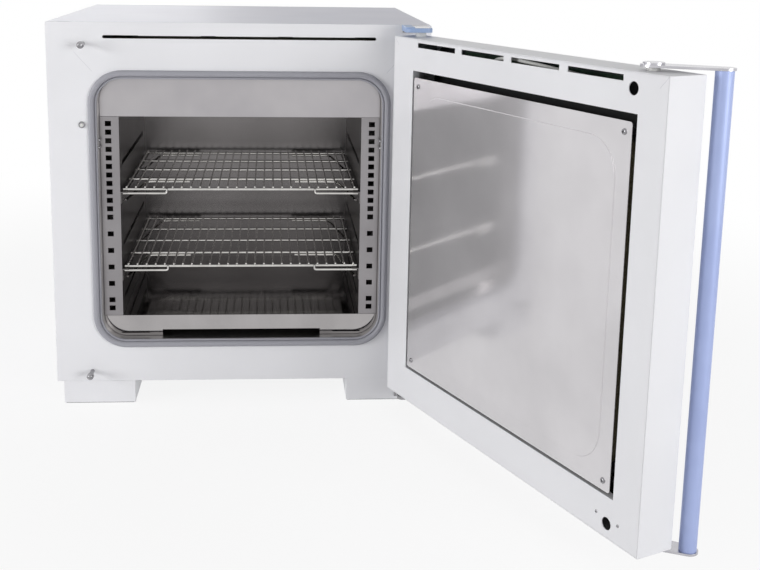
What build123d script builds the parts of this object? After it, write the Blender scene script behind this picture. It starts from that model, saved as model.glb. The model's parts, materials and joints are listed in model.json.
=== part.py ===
from build123d import *
import os
from math import asin, cos, degrees, radians, sin

os.makedirs("parts", exist_ok=True)

# Hot air sterilizer, bench type, in millimetres.
# X runs to the right, Y to the back and Z up. The origin is the middle of the
# footprint, on the surface that the feet stand on. The front face is at -Y.

# Cabinet
casing_width = 620.0
casing_height = 605.0
casing_sheet = 1.2
casing_bend = 3.0
frame_return = 18.0
cover_play = 0.1
plant_depth = 72.0

# Feet
foot_height = 40.0
foot_width = 119.0
foot_depth = 110.0
foot_side_inset = 11.0
foot_sheet = 2.0
pad_drop = 1.5
pad_height = 9.0
pad_play = 0.2
pad_stem = 16.0

# Chamber liner and the seal round its mouth
mouth_side_margin = 79.0
mouth_bottom_margin = 73.0
mouth_top_margin = 90.0
mouth_radius = 38.0
liner_sheet = 1.0
liner_depth = 434.0
liner_flange = 16.0
seal_width = 14.0
seal_proud = 7.0
seal_edge = 3.6
seal_overhang = 1.0

# Working chamber, built of panels inside the liner
panel_sheet = 1.0
panel_setback = 20.0
post_width = 31.0
chamber_floor_rise = 36.0
chamber_ceiling_drop = 65.0
baffle_back_space = 36.0
panel_play = 0.5
air_slot_margin = 97.0
air_slot_height = 10.0
slit_length = 48.0
slit_height = 2.6
slit_margin = 52.0
slit_rise = 6.0

# Perforated posts
hole_width = 10.0
hole_height = 8.6
hole_margin = 13.5
hole_top_margin = 12.0
hole_bottom_margin = 13.3
hole_rows = (0, 1, 2, 3, 4, 5, 6, 7, 8, 9, 10, 11, 13, 15, 17, 19, 21, 22)
duct_slot_height = 8.0
duct_slot_margin = 30.0
duct_slot_top_margin = 83.0
duct_slot_middle_rise = 119.0
duct_slot_bottom_margin = 26.0

# Wire shelves
shelf_side_play = 3.0
shelf_front_setback = 31.0
shelf_back_space = 23.0
upper_shelf_drop = 124.5
lower_shelf_rise = 83.5
cross_wire = 5.0
cross_wire_count = 5
grid_wire = 3.0
grid_wire_count = 26
grid_side_margin = 6.5
grid_overrun = 3.0
brace_wire = 4.0
weld_gap = 0.02
loop_drop = 6.0
loop_width = 73.0
brace_width = 105.0
brace_run = 31.0
brace_tip_margin = 3.0
brace_reach = 78.0
brace_drop = 20.0
rail_sheet = 1.2
rail_ledge = 11.0
rail_drop = 20.0
rail_back_space = 24.8
rail_play = 0.2

# Heater, probe and insulation
heater_tube = 8.0
heater_drop = 18.0
heater_runs = 6
heater_side_margin = 60.0
heater_front_setback = 62.0
heater_back_space = 26.0
tail_reach = 40.0
tube_play = 0.1
probe_diameter = 5.0
probe_side_margin = 50.0
probe_drop = 28.0
probe_reach = 12.0
wool_hole_play = 2.0
wool_side = 34.0
wool_top = 30.0
wool_bottom = 30.0
wool_back = 34.0

# Exhaust stub with its hand flap
stub_radius = 26.0
stub_wall = 1.5
stub_proud = 32.0
stub_rise = 15.0
stub_flange_width = 76.0
stub_flange = 2.0
flap_play = 0.8
flap_sheet = 1.5
spindle_diameter = 5.0
spindle_play = 0.08
spindle_below = 4.0
spindle_above = 6.0
flap_knob_width = 9.0
flap_knob_length = 22.0
flap_knob_height = 12.0

# Back of the cabinet
louvre_side_margin = 83.8
louvre_height = 4.0
louvre_pitch = 12.0
louvre_rows = 4
louvre_columns = 3
louvre_bridge = 30.0
louvre_low_rise = 110.0
louvre_high_drop = 55.0
inlet_side_margin = 88.8
inlet_rise = 60.0
inlet_flange_width = 50.0
inlet_flange_height = 28.0
inlet_body_width = 30.0
inlet_body_height = 24.0
inlet_depth = 20.0
inlet_pocket_width = 24.0
inlet_pocket_height = 17.0
inlet_pocket_depth = 15.0
inlet_flange = 2.0
inlet_pin_width = 2.0
inlet_pin_height = 4.0
inlet_pin_pitch = 7.0
board_width = 150.0
board_height = 110.0
board_side_margin = 158.8
board_rise = 190.0
board_thick = 1.6
board_standoff = 12.0
board_pillar = 6.0
relay_width = 30.0
relay_height = 32.0
relay_depth = 8.0
relay_pitch = 46.0

# Top slot of the front face, latch studs and door contact
front_slot_length = 440.0
front_slot_height = 5.0
front_slot_drop = 23.5
stud_side_margin = 59.0
stud_top_margin = 35.0
stud_bottom_margin = 17.5
stud_shank = 7.0
stud_head = 11.5
stud_head_length = 7.0
stud_length = 29.0
contact_side_margin = 54.0
contact_drop = 166.0
contact_ring = 11.0
contact_ring_height = 1.5
contact_pin = 6.0
contact_pin_play = 0.08
contact_proud = 6.0
contact_tail = 22.0
contact_barrel = 7.6
contact_travel = 4.0

# Door, drawn closed and swung open about its hinge line at the end
door_side_inset = 0.5
door_thick = 57.0
door_low_overlap = 2.0
door_top_drop = 15.0
door_gap = 7.5
door_sheet = 1.2
door_open_angle = 113.8
window_hinge_margin = 58.5
window_latch_margin = 49.0
window_bottom_margin = 55.5
window_top_margin = 49.5
window_lip = 12.0
vent_hinge_margin = 71.35
vent_latch_margin = 77.15
vent_height = 7.4
vent_bridge = 17.5
vent_count = 4
vent_drop = 9.3
latch_hole = 16.6
panel_side_gap = 12.5
panel_end_gap = 15.0
inner_panel_sheet = 1.0
inner_panel_shift_x = 1.5
inner_panel_drop = 2.8
emboss_inset = 24.0
emboss_radius = 50.0
emboss_height = 1.2
panel_pillar_inset = 13.0
door_post = 8.0
door_wool_inset = 19.5
door_wool_radius = 25.0
door_wool_thick = 26.0
door_wool_setback = 1.0

# Door hinge
hinge_edge = 22.0
hinge_inset = 35.0
hinge_pin = 10.0
hinge_play = 0.08
hinge_pin_depth = 26.0
hinge_bush = 16.0
hinge_block_width = 42.0
hinge_block_depth = 36.0
hinge_block_height = 26.0
bracket_width = 40.0
bracket_shift = 5.0
bracket_plate = 5.0
bracket_leg = 4.0
bracket_gap = 9.0
bracket_reach = 60.0
bracket_leg_height = 11.0
lower_leg_height = 21.0
collar_play = 0.2
cap_wall = 1.5
cap_play = 0.2
cap_drop = 2.0

# Handle, turning on the latch shaft that stands in the door
handle_bar = 22.0
handle_bar_wall = 2.0
handle_bar_outreach = 61.5
handle_bar_standoff = 51.5
arm_plate = 3.0
arm_gap = 4.5
arm_pivot_radius = 16.0
arm_bar_radius = 13.0
shaft_diameter = 10.0
shaft_play = 0.08
shaft_bush = 16.0
shaft_bush_depth = 8.0
shaft_collar_play = 0.2
pivot_cap_radius = 13.0
pivot_cap_height = 2.5
hook_inner_radius = 16.0
hook_outer_radius = 20.0
hook_thick = 6.0
hook_hub = 13.0
hook_play = 0.8
hook_arm_angle = 68.0
hook_arm_width = 6.0
hook_setback = 1.5

# Control panel on the outer face of the door
fascia_side_margin = 99.5
fascia_height = 46.0
fascia_thick = 1.5
fascia_drop = 30.0
fascia_radius = 5.0
display_width = 110.0
display_height = 26.0
display_thick = 0.8
display_x = -60.0
door_board_margin = 30.0
door_board_height = 30.0
door_board_pillar = 5.0
door_board_post = 6.0
chip_width = 26.0
chip_height = 16.0
chip_depth = 6.0
chip_count = 4
chip_margin = 55.0

# Sizes and places worked out from those above
casing_depth = liner_depth + wool_back + plant_depth
front_y = -casing_depth / 2
rear_y = casing_depth / 2
base_z = foot_height
top_z = foot_height + casing_height
inner_half = casing_width / 2 - casing_sheet
mid_z = base_z + casing_height / 2
mouth_half_width = casing_width / 2 - mouth_side_margin
mouth_half_height = (casing_height - mouth_bottom_margin - mouth_top_margin) / 2
mouth_centre_z = base_z + mouth_bottom_margin + mouth_half_height
mouth_floor_z = mouth_centre_z - mouth_half_height
mouth_top_z = mouth_centre_z + mouth_half_height
liner_front_y = front_y + casing_sheet
liner_back_y = front_y + liner_depth
panel_y = front_y + panel_setback
baffle_setback = liner_depth - baffle_back_space
baffle_y = front_y + baffle_setback
chamber_half = mouth_half_width - post_width
chamber_floor_z = mouth_floor_z + chamber_floor_rise
chamber_ceiling_z = mouth_top_z - chamber_ceiling_drop
panel_half = mouth_half_width - panel_play
air_slot_width = 2 * (mouth_half_width - air_slot_margin)
slit_x = mouth_half_width - slit_margin
slit_z = mouth_floor_z + slit_rise
hole_x = mouth_half_width - hole_margin
top_hole_z = chamber_ceiling_z - hole_top_margin
hole_pitch = (top_hole_z - chamber_floor_z - hole_bottom_margin) / hole_rows[-1]
duct_slot_levels = (
    chamber_ceiling_z - duct_slot_top_margin,
    chamber_floor_z + duct_slot_middle_rise,
    chamber_floor_z + duct_slot_bottom_margin,
)

shelf_half_width = chamber_half - shelf_side_play
shelf_depth = baffle_setback - shelf_front_setback - shelf_back_space
upper_shelf_z = chamber_ceiling_z - upper_shelf_drop
lower_shelf_z = chamber_floor_z + lower_shelf_rise
grid_half_width = shelf_half_width - grid_side_margin
loop_inner_x = shelf_half_width - loop_width
brace_inner_x = shelf_half_width - brace_width
brace_bend_x = shelf_half_width - brace_run
brace_tip_x = shelf_half_width - brace_tip_margin
rail_length = baffle_setback - panel_setback - panel_sheet - rail_play - rail_back_space

heater_z = chamber_floor_z - heater_drop
heater_half_width = chamber_half - heater_side_margin
heater_pitch = 2 * heater_half_width / (heater_runs - 1)
heater_back_setback = baffle_setback - heater_back_space
probe_x = chamber_half - probe_side_margin
probe_z = chamber_ceiling_z - probe_drop
tail_end_y = liner_back_y + wool_back + tail_reach
stub_z = chamber_ceiling_z + stub_rise
louvre_field = 2 * (inner_half - louvre_side_margin)
louvre_width = (louvre_field - (louvre_columns - 1) * louvre_bridge) / louvre_columns
louvre_low_z = base_z + louvre_low_rise
louvre_high_z = top_z - louvre_high_drop
inlet_x = inner_half - inlet_side_margin
inlet_z = base_z + inlet_rise
board_x = inner_half - board_side_margin
board_z = base_z + board_rise
front_slot_z = top_z - front_slot_drop
stud_x = stud_side_margin - casing_width / 2
stud_upper_z = top_z - stud_top_margin
stud_lower_z = base_z + stud_bottom_margin
contact_x = contact_side_margin - casing_width / 2
contact_z = top_z - contact_drop
foot_x = casing_width / 2 - foot_side_inset - foot_width / 2
foot_y = casing_depth / 2 - foot_depth / 2

door_width = casing_width - 2 * door_side_inset
door_bottom_z = base_z - door_low_overlap
door_top_z = top_z - door_top_drop
door_edge_x = door_width / 2
door_inner_y = front_y - door_gap
door_outer_y = door_inner_y - door_thick
door_mid_z = (door_bottom_z + door_top_z) / 2
door_height = door_top_z - door_bottom_z
hinge_x = door_edge_x - hinge_edge
hinge_y = door_inner_y - hinge_inset
window_width = door_width - window_hinge_margin - window_latch_margin
window_height = door_height - window_bottom_margin - window_top_margin
window_x = door_edge_x - window_hinge_margin - window_width / 2
window_z = door_bottom_z + window_bottom_margin + window_height / 2
inner_panel_width = window_width - panel_side_gap
inner_panel_height = window_height - panel_end_gap
panel_x = window_x + inner_panel_shift_x
panel_z = window_z - inner_panel_drop
vent_field = door_width - vent_hinge_margin - vent_latch_margin
vent_length = (vent_field - (vent_count - 1) * vent_bridge) / vent_count
fascia_width = door_width - 2 * fascia_side_margin
fascia_z = door_top_z - fascia_drop
door_board_width = fascia_width - 2 * door_board_margin
chip_pitch = (door_board_width - 2 * chip_margin) / (chip_count - 1)
latch_x = stud_x
latch_y = door_inner_y - door_thick / 2
bar_x = latch_x - handle_bar_outreach
bar_y = latch_y - handle_bar_standoff


def facing_front(y):
    """A plane that looks out of the front, with X to the right and Y up."""
    return Plane(origin=(0, y, 0), x_dir=(1, 0, 0), z_dir=(0, -1, 0))


def facing_back(y):
    """A plane whose normal runs to the back, with local X to the left."""
    return Plane(origin=(0, y, 0), x_dir=(-1, 0, 0), z_dir=(0, 1, 0))


def facing_side(x):
    """A plane whose normal runs to the right, with local X to the back."""
    return Plane(origin=(x, 0, 0), x_dir=(0, 1, 0), z_dir=(1, 0, 0))


# Outer casing: one sheet bent over the top and down both sides
with BuildPart() as outer_casing:
    with BuildSketch(facing_front(front_y + casing_sheet)):
        with Locations((0, mid_z)):
            Rectangle(casing_width, casing_height)
        fillet(vertices().group_by(Axis.Y)[-1], casing_bend)
    extrude(amount=-(casing_depth - casing_sheet))
    with BuildSketch(facing_front(front_y)):
        with Locations((0, mid_z - casing_sheet)):
            Rectangle(2 * inner_half, casing_height)
        fillet(vertices().group_by(Axis.Y)[-1], casing_bend - casing_sheet)
    extrude(amount=-(casing_depth + casing_sheet), mode=Mode.SUBTRACT)

# Front frame: the flat face round the chamber mouth, with returns inside the casing
frame_opening_half_width = mouth_half_width + seal_overhang + 2
frame_opening_half_height = mouth_half_height + seal_overhang + 2
with BuildPart() as front_frame:
    with BuildSketch(facing_front(front_y)):
        with Locations((0, mid_z)):
            Rectangle(casing_width, casing_height)
        fillet(vertices().group_by(Axis.Y)[-1], casing_bend)
    extrude(amount=-casing_sheet)
    with BuildSketch(facing_front(front_y + casing_sheet)):
        with Locations((0, mid_z - casing_sheet / 2)):
            Rectangle(2 * inner_half, casing_height - casing_sheet)
        fillet(vertices().group_by(Axis.Y)[-1], casing_bend - casing_sheet)
        with Locations((0, mid_z - casing_sheet / 2)):
            Rectangle(
                2 * (inner_half - casing_sheet), casing_height - 3 * casing_sheet, mode=Mode.SUBTRACT
            )
    extrude(amount=-frame_return)
    with BuildSketch(facing_front(front_y)):
        with Locations((0, mouth_centre_z)):
            RectangleRounded(
                2 * frame_opening_half_width, 2 * frame_opening_half_height, mouth_radius
            )
        with Locations((0, front_slot_z)):
            SlotOverall(front_slot_length, front_slot_height)
        with Locations((contact_x, contact_z)):
            Rectangle(contact_barrel, contact_barrel)
    extrude(amount=-casing_sheet, mode=Mode.SUBTRACT)

# Base plate: a tray between the frame and the back, its sides turned up
tray_front_y = front_y + casing_sheet + frame_return + cover_play
tray_half = inner_half - cover_play
with BuildPart() as base_plate:
    with BuildSketch(facing_front(tray_front_y)):
        with Locations((0, base_z + casing_sheet / 2)):
            Rectangle(2 * tray_half, casing_sheet)
        for side in (-1, 1):
            with Locations((side * (tray_half - casing_sheet / 2), base_z + frame_return / 2)):
                Rectangle(casing_sheet, frame_return)
    extrude(amount=-(rear_y - casing_sheet - cover_play - tray_front_y))

# Rear cover: louvred sheet set inside the casing
cover_bottom_z = base_z + casing_sheet + cover_play
cover_top_z = top_z - casing_sheet - cover_play
with BuildPart() as rear_cover:
    with BuildSketch(facing_back(rear_y)):
        with Locations((0, (cover_bottom_z + cover_top_z) / 2)):
            Rectangle(2 * (inner_half - cover_play), cover_top_z - cover_bottom_z)
        fillet(vertices().group_by(Axis.Y)[-1], casing_bend - casing_sheet)
        for level in (louvre_low_z, louvre_high_z):
            with Locations((0, level)):
                with GridLocations(
                    louvre_width + louvre_bridge, louvre_pitch, louvre_columns, louvre_rows
                ):
                    Rectangle(louvre_width, louvre_height, mode=Mode.SUBTRACT)
        with Locations((0, stub_z)):
            Circle(stub_radius + tube_play, mode=Mode.SUBTRACT)
        with Locations((-inlet_x, inlet_z)):
            Rectangle(
                inlet_body_width + 2 * tube_play, inlet_body_height + 2 * tube_play, mode=Mode.SUBTRACT
            )
    extrude(amount=-casing_sheet)

# Chamber liner: a deep box with rounded corners and a flange behind the front frame
with BuildPart() as chamber_liner:
    with BuildSketch(facing_front(liner_front_y)):
        with Locations((0, mouth_centre_z)):
            RectangleRounded(
                2 * (mouth_half_width + liner_sheet),
                2 * (mouth_half_height + liner_sheet),
                mouth_radius + liner_sheet,
            )
    extrude(amount=-(liner_back_y - liner_front_y))
    with BuildSketch(facing_front(liner_front_y)):
        with Locations((0, mouth_centre_z)):
            RectangleRounded(
                2 * (mouth_half_width + liner_flange),
                2 * (mouth_half_height + liner_flange),
                mouth_radius + liner_flange,
            )
    extrude(amount=-liner_sheet)
    with BuildSketch(facing_front(liner_front_y)):
        with Locations((0, mouth_centre_z)):
            RectangleRounded(2 * mouth_half_width, 2 * mouth_half_height, mouth_radius)
    extrude(amount=-(liner_back_y - liner_front_y - liner_sheet), mode=Mode.SUBTRACT)
    with BuildSketch(facing_front(liner_back_y)):
        with Locations((0, stub_z)):
            Circle(stub_radius + tube_play)
        with Locations((probe_x, probe_z)):
            Circle(probe_diameter / 2 + tube_play)
        for side in (-1, 1):
            with Locations((side * heater_half_width, heater_z)):
                Circle(heater_tube / 2 + 3 * tube_play)
    extrude(amount=liner_sheet, mode=Mode.SUBTRACT)

# Door seal: a soft tube that follows the mouth
seal_inner_half_width = mouth_half_width + seal_overhang
seal_inner_half_height = mouth_half_height - seal_overhang
with BuildPart() as door_seal:
    with BuildSketch(facing_front(front_y)):
        with Locations((0, mouth_centre_z)):
            RectangleRounded(
                2 * (seal_inner_half_width + seal_width),
                2 * (seal_inner_half_height + seal_width),
                mouth_radius + seal_width + 3,
            )
            RectangleRounded(
                2 * seal_inner_half_width,
                2 * seal_inner_half_height,
                mouth_radius + 3,
                mode=Mode.SUBTRACT,
            )
    extrude(amount=seal_proud)
    chamfer(door_seal.faces().sort_by(Axis.Y)[0].edges(), seal_edge)


# Side ducts: each a perforated post and a slotted wall, bent from one sheet
def make_side_duct(side):
    wall_x = side * (chamber_half + panel_sheet / 2)
    post_inner = chamber_half
    face_width = panel_half - post_inner
    height = chamber_ceiling_z - chamber_floor_z - 2 * panel_play
    middle_z = (chamber_ceiling_z + chamber_floor_z) / 2
    depth = baffle_y - panel_y - panel_play
    with BuildPart() as duct:
        with BuildSketch(facing_front(panel_y)):
            with Locations((side * (post_inner + face_width / 2), middle_z)):
                Rectangle(face_width, height)
            for row in hole_rows:
                with Locations((side * hole_x, top_hole_z - row * hole_pitch)):
                    Rectangle(hole_width, hole_height, mode=Mode.SUBTRACT)
        extrude(amount=-panel_sheet)
        with BuildSketch(facing_front(panel_y)):
            with Locations((wall_x, middle_z)):
                Rectangle(panel_sheet, height)
        extrude(amount=-depth)
        with BuildSketch(facing_side(wall_x)):
            for level in duct_slot_levels:
                with Locations(((panel_y + baffle_y) / 2, level)):
                    Rectangle(depth - 2 * duct_slot_margin, duct_slot_height)
        extrude(amount=panel_sheet, both=True, mode=Mode.SUBTRACT)
    return duct


left_side_duct = make_side_duct(-1)
right_side_duct = make_side_duct(1)

# Chamber floor with its front apron, notched at the bottom for the air
with BuildPart() as chamber_floor:
    with BuildSketch(facing_front(panel_y)):
        with Locations((0, chamber_floor_z - panel_sheet / 2)):
            Rectangle(2 * panel_half, panel_sheet)
    extrude(amount=-(baffle_y - panel_y))
    with BuildSketch(facing_front(panel_y)):
        with Locations((0, mouth_centre_z)):
            RectangleRounded(
                2 * panel_half, 2 * (mouth_half_height - panel_play), mouth_radius - panel_play
            )
        with Locations((0, chamber_floor_z + casing_height / 2)):
            Rectangle(casing_width, casing_height, mode=Mode.SUBTRACT)
        with Locations((0, mouth_floor_z + panel_play + air_slot_height / 2)):
            Rectangle(air_slot_width, air_slot_height, mode=Mode.SUBTRACT)
        for side in (-1, 1):
            with Locations((side * slit_x, slit_z)):
                SlotOverall(slit_length, slit_height, mode=Mode.SUBTRACT)
    extrude(amount=-panel_sheet)

# Chamber ceiling with the apron above the opening
with BuildPart() as chamber_ceiling:
    with BuildSketch(facing_front(panel_y)):
        with Locations((0, chamber_ceiling_z + panel_sheet / 2)):
            Rectangle(2 * panel_half, panel_sheet)
    extrude(amount=-(baffle_y - panel_y))
    with BuildSketch(facing_front(panel_y)):
        with Locations((0, mouth_centre_z)):
            RectangleRounded(
                2 * panel_half, 2 * (mouth_half_height - panel_play), mouth_radius - panel_play
            )
        with Locations((0, chamber_ceiling_z - casing_height / 2)):
            Rectangle(casing_width, casing_height, mode=Mode.SUBTRACT)
    extrude(amount=-panel_sheet)

# Rear baffle: the back wall of the working chamber
with BuildPart() as rear_baffle:
    with BuildSketch(facing_front(baffle_y)):
        with Locations((0, mouth_centre_z)):
            RectangleRounded(
                2 * panel_half, 2 * (mouth_half_height - panel_play), mouth_radius - panel_play
            )
        with Locations((0, heater_z)):
            Rectangle(
                heater_pitch * heater_runs, heater_tube + 4 * panel_play, mode=Mode.SUBTRACT
            )
        with Locations((probe_x, probe_z)):
            Circle(probe_diameter / 2 + tube_play, mode=Mode.SUBTRACT)
    extrude(amount=-panel_sheet)


# Shelf rails: angle strips on the duct walls, one under each shelf
def make_rails(side):
    rail_y = panel_y + panel_sheet + rail_play + rail_length / 2
    with BuildPart() as rails:
        for shelf_z in (upper_shelf_z, lower_shelf_z):
            ledge_z = shelf_z - cross_wire / 2 - rail_play
            with Locations(
                (side * (chamber_half - rail_ledge / 2), rail_y, ledge_z - rail_sheet / 2)
            ):
                Box(rail_ledge, rail_length, rail_sheet)
            with Locations(
                (side * (chamber_half - rail_sheet / 2), rail_y, ledge_z - rail_drop / 2)
            ):
                Box(rail_sheet, rail_length, rail_drop)
    return rails


left_shelf_rails = make_rails(-1)
right_shelf_rails = make_rails(1)


# Wire shelf: cross wires below, grid wires welded on them, a stop loop at each
# front corner and four braces that run out under the rails
def wire_through(diameter, *points):
    """A wire along straight legs, eight-sided, with mitred bends."""
    with BuildLine(mode=Mode.PRIVATE) as path:
        Polyline(*points)
    with BuildSketch(Plane(origin=path.line @ 0, z_dir=path.line % 0), mode=Mode.PRIVATE) as end:
        RegularPolygon(diameter / 2, 8, major_radius=False, rotation=22.5)
    sweep(sections=end.sketch, path=path.line, transition=Transition.RIGHT)


def make_shelf(shelf_z):
    front = front_y + shelf_front_setback
    step = shelf_depth / (cross_wire_count - 1)
    grid_z = shelf_z + cross_wire / 2 + grid_wire / 2 + weld_gap
    brace_z = shelf_z - cross_wire / 2 - brace_wire / 2 - weld_gap
    with BuildPart() as shelf:
        for n in range(cross_wire_count):
            wire_y = front + n * step
            wire_through(
                cross_wire, (-shelf_half_width, wire_y, shelf_z), (shelf_half_width, wire_y, shelf_z)
            )
        grid_front = front - grid_overrun
        grid_back = front + shelf_depth + grid_overrun
        for n in range(grid_wire_count):
            wire_x = -grid_half_width + n * 2 * grid_half_width / (grid_wire_count - 1)
            wire_through(grid_wire, (wire_x, grid_front, grid_z), (wire_x, grid_back, grid_z))
        for side in (-1, 1):
            loop_y = front - cross_wire / 2 - brace_wire / 2 - weld_gap
            wire_through(
                brace_wire,
                (side * loop_inner_x, loop_y, shelf_z + brace_wire / 2),
                (side * loop_inner_x, loop_y, shelf_z - loop_drop),
                (side * shelf_half_width, loop_y, shelf_z - loop_drop),
            )
            for n in (1, cross_wire_count - 1):
                brace_y = front + n * step
                wire_through(
                    brace_wire,
                    (side * brace_inner_x, brace_y, brace_z),
                    (side * brace_bend_x, brace_y, brace_z),
                    (side * brace_tip_x, brace_y - brace_reach, brace_z + brace_wire - brace_drop),
                )
    return shelf


upper_shelf = make_shelf(upper_shelf_z)
lower_shelf = make_shelf(lower_shelf_z)

# Bottom heater: one tube led to and fro, both ends leaving at the back
with BuildPart() as bottom_heater:
    left_x = -heater_half_width
    near_y = front_y + heater_front_setback
    far_y = front_y + heater_back_setback
    heater_points = [(left_x, tail_end_y, heater_z)]
    for run in range(heater_runs - 1):
        turn_y = near_y if run % 2 == 0 else far_y
        heater_points.append((left_x + run * heater_pitch, turn_y, heater_z))
        heater_points.append((left_x + (run + 1) * heater_pitch, turn_y, heater_z))
    heater_points.append((-left_x, tail_end_y, heater_z))
    wire_through(heater_tube, *heater_points)

# Temperature probe through the baffle and the liner
with BuildPart() as temperature_probe:
    with BuildSketch(facing_front(baffle_y - probe_reach)):
        with Locations((probe_x, probe_z)):
            Circle(probe_diameter / 2)
    extrude(amount=-(tail_end_y - baffle_y + probe_reach))
    with BuildSketch(facing_front(liner_back_y)):
        with Locations((probe_x, probe_z)):
            RegularPolygon(1.6 * probe_diameter, 6)
    extrude(amount=-probe_diameter)

# Insulation: five slabs of mineral wool round the liner
liner_half = mouth_half_width + liner_sheet
liner_half_height = mouth_half_height + liner_sheet
wool_front_y = front_y + frame_return + 4
with BuildPart() as insulation:
    wool_length = liner_back_y - wool_front_y
    wool_y = (liner_back_y + wool_front_y) / 2
    for side in (-1, 1):
        with Locations((side * (liner_half + wool_side / 2), wool_y, mouth_centre_z)):
            Box(wool_side, wool_length, 2 * liner_half_height)
    with Locations((0, wool_y, mouth_centre_z + liner_half_height + wool_top / 2)):
        Box(2 * (liner_half + wool_side), wool_length, wool_top)
    with Locations((0, wool_y, mouth_centre_z - liner_half_height - wool_bottom / 2)):
        Box(2 * (liner_half + wool_side), wool_length, wool_bottom)
    with BuildSketch(facing_back(liner_back_y)):
        with Locations((0, mouth_centre_z)):
            Rectangle(2 * (liner_half + wool_side), 2 * (liner_half_height + wool_top))
        with Locations((0, stub_z)):
            Circle(stub_radius + wool_hole_play, mode=Mode.SUBTRACT)
        with Locations((-probe_x, probe_z)):
            Rectangle(4 * probe_diameter, 4 * probe_diameter, mode=Mode.SUBTRACT)
        for side in (-1, 1):
            with Locations((side * heater_half_width, heater_z)):
                Rectangle(2 * heater_tube, 2 * heater_tube, mode=Mode.SUBTRACT)
    extrude(amount=wool_back)

# Exhaust stub: from the liner through the back
stub_end_y = rear_y + stub_proud
flap_y = rear_y + stub_proud / 2
with BuildPart() as exhaust_stub:
    with BuildSketch(facing_back(liner_back_y - liner_sheet)):
        with Locations((0, stub_z)):
            Circle(stub_radius)
    extrude(amount=stub_end_y - liner_back_y + liner_sheet)
    with BuildSketch(facing_back(rear_y)):
        with Locations((0, stub_z)):
            Rectangle(stub_flange_width, stub_flange_width)
    extrude(amount=stub_flange)
    with BuildSketch(facing_back(liner_back_y - liner_sheet)):
        with Locations((0, stub_z)):
            Circle(stub_radius - stub_wall)
    extrude(amount=stub_end_y - liner_back_y + liner_sheet, mode=Mode.SUBTRACT)
    with Locations((0, flap_y, stub_z)):
        Cylinder(spindle_diameter / 2 + spindle_play, 3 * stub_radius, mode=Mode.SUBTRACT)

# Flap of the exhaust: a disc through an upright slotted spindle with a knob on top
flap_radius = stub_radius - stub_wall - flap_play
with BuildPart() as flap_disc:
    with Locations((0, flap_y, stub_z)):
        Cylinder(flap_radius, flap_sheet, rotation=(0, 90, 0))

spindle_low_z = stub_z - stub_radius - spindle_below
spindle_high_z = stub_z + stub_radius + spindle_above
with BuildPart() as flap_spindle:
    with BuildSketch(Plane.XY.offset(spindle_low_z)):
        with Locations((0, flap_y)):
            Circle(spindle_diameter / 2)
    extrude(amount=spindle_high_z - spindle_low_z + flap_knob_height / 2)
    with Locations((0, flap_y, stub_z)):
        Cylinder(flap_radius, flap_sheet, rotation=(0, 90, 0), mode=Mode.SUBTRACT)

with BuildPart() as flap_knob:
    with BuildSketch(Plane.XY.offset(spindle_high_z)):
        with Locations((0, flap_y)):
            Rectangle(flap_knob_width, flap_knob_length)
        chamfer(vertices(), flap_knob_width / 4)
    extrude(amount=flap_knob_height)
    with BuildSketch(Plane.XY.offset(spindle_high_z)):
        with Locations((0, flap_y)):
            Circle(spindle_diameter / 2)
    extrude(amount=flap_knob_height / 2, mode=Mode.SUBTRACT)

# Mains inlet: flange, body and a recess with three contact pins
with BuildPart() as mains_inlet:
    with BuildSketch(facing_back(rear_y)):
        with Locations((-inlet_x, inlet_z)):
            RectangleRounded(inlet_flange_width, inlet_flange_height, inlet_flange)
    extrude(amount=inlet_flange)
    with BuildSketch(facing_back(rear_y)):
        with Locations((-inlet_x, inlet_z)):
            Rectangle(inlet_body_width, inlet_body_height)
    extrude(amount=-inlet_depth)
    with BuildSketch(facing_back(rear_y + inlet_flange)):
        with Locations((-inlet_x, inlet_z)):
            Rectangle(inlet_pocket_width, inlet_pocket_height)
        chamfer(vertices().group_by(Axis.Y)[-1], inlet_pocket_height / 4)
    extrude(amount=-inlet_pocket_depth - inlet_flange, mode=Mode.SUBTRACT)
    with BuildSketch(facing_back(rear_y - inlet_pocket_depth)):
        for place in (-1, 0, 1):
            pin_z = inlet_z + (0.5 - abs(place)) * inlet_pin_height
            with Locations((-inlet_x + place * inlet_pin_pitch, pin_z)):
                Rectangle(inlet_pin_width, inlet_pin_height)
    extrude(amount=inlet_pocket_depth - inlet_flange)

# Power board on four pillars behind the rear cover
board_y = rear_y - casing_sheet - board_standoff
with BuildPart() as power_board:
    with Locations((board_x, board_y - board_thick / 2, board_z)):
        Box(board_width, board_thick, board_height)
    for dx in (-1, 1):
        for dz in (-1, 1):
            corner_x = board_x + dx * (board_width / 2 - board_pillar)
            corner_z = board_z + dz * (board_height / 2 - board_pillar)
            with Locations((corner_x, board_y + board_standoff / 2, corner_z)):
                Box(board_pillar, board_standoff, board_pillar)
    for place in (-1, 0, 1):
        relay_y = board_y - board_thick - relay_depth / 2
        with Locations((board_x + place * relay_pitch, relay_y, board_z)):
            Box(relay_width, relay_depth, relay_height)


# Latch studs on the front face, one above the other
with BuildPart() as latch_studs:
    for stud_z in (stud_upper_z, stud_lower_z):
        for diameter, start, length in (
            (stud_shank, 0, stud_length),
            (stud_head, stud_length - stud_head_length, stud_head_length),
        ):
            with BuildSketch(facing_front(front_y - start)):
                with Locations((stud_x, stud_z)):
                    Circle(diameter / 2)
            extrude(amount=length)
    chamfer(latch_studs.faces().group_by(Axis.Y)[0].edges(), 0.2 * stud_head)

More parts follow.
